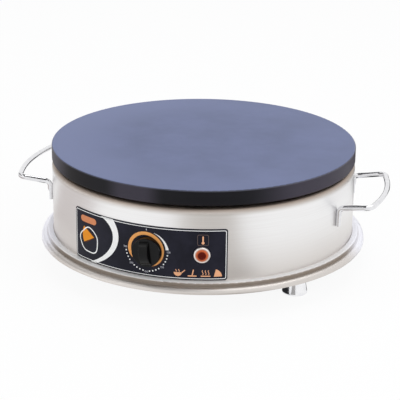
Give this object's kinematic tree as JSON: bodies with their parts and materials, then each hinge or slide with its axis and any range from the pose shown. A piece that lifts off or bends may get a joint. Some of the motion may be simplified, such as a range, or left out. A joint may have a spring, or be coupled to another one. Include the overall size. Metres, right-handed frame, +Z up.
{
  "type": "electric crepe maker",
  "caption": "Round countertop crepe griddle: thick cooking plate on a flanged steel drum with thermostat knob, pilot lamp, bent-rod side handles and conical feet.",
  "frame": {"origin": "floor point under the axis of the cooking plate, at the middle of the footprint", "axes": "+Z up along the plate axis, front (the control panel side) towards -Y, +X towards the right-hand handle"},
  "size_m": [0.494, 0.4342, 0.1585],
  "materials": {
    "plate_iron": "machined cast iron, satin slate-blue top and near-black rim",
    "drum_steel": "satin stainless sheet",
    "base_sheet": "plain steel sheet with vents",
    "shield_sheet": "aluminised sheet",
    "panel_print": "screen-printed overlay, blue-black with orange and white print",
    "knob_black": "moulded black knob",
    "lamp_chrome": "plated bezel",
    "lens_amber": "translucent amber lens",
    "handle_chrome": "plated bent rod",
    "foot_chrome": "plated cone",
    "foot_rubber": "black rubber",
    "element_steel": "heat-darkened tube",
    "steel_fastener": "zinc-plated steel",
    "steel_bracket": "galvanised sheet",
    "insulation": "pressed ceramic fibre",
    "copper_tube": "copper tube",
    "brass_fitting": "turned brass",
    "ceramic_block": "off-white moulding",
    "gland_plastic": "black nylon",
    "gland_rubber": "black seal"
  },
  "bodies": {
    "cooker": {"griddle_plate": "plate_iron", "plate_studs": "steel_fastener", "plate_spacers": "steel_fastener", "plate_washers": "steel_fastener", "plate_nuts": "steel_fastener", "outer_element": "element_steel", "inner_element": "element_steel", "element_clamps": "steel_bracket", "clamp_studs": "steel_fastener", "clamp_nuts": "steel_fastener", "shield_pan": "shield_sheet", "insulation_board": "insulation", "sensor_bulb": "copper_tube", "capillary_tube": "copper_tube", "bulb_clip": "steel_bracket", "clip_screw": "steel_fastener", "body_shell": "drum_steel", "control_panel": "panel_print", "thermostat_body": "ceramic_block", "thermostat_pad": "steel_bracket", "thermostat_screws": "steel_fastener", "lamp_bezel": "lamp_chrome", "lamp_lens": "lens_amber", "lamp_nut": "steel_fastener", "handle_left": "handle_chrome", "handle_right": "handle_chrome", "base_plate": "base_sheet", "base_brackets": "steel_bracket", "base_screws": "steel_fastener", "foot_left": "foot_chrome", "foot_right": "foot_chrome", "foot_rear": "foot_chrome", "foot_pads": "foot_rubber", "foot_bolts": "steel_fastener", "foot_nuts": "steel_fastener", "terminal_block": "ceramic_block", "block_screws": "steel_fastener", "wire_screws": "brass_fitting", "earth_stud": "brass_fitting", "earth_nut": "brass_fitting", "gland_body": "gland_plastic", "gland_cap": "gland_plastic", "gland_seal": "gland_rubber", "gland_locknut": "gland_plastic"},
    "knob": {"knob": "knob_black", "knob_insert": "brass_fitting", "thermostat_spindle": "steel_fastener"}
  },
  "joints": [
    {"name": "knob_turn", "type": "hinge", "parent": "cooker", "child": "knob", "pos_m": [-0.02071, -0.20043, 0.07695], "axis": [0.1028, 0.9947, 0], "range_deg": [0, 270]}
  ]
}
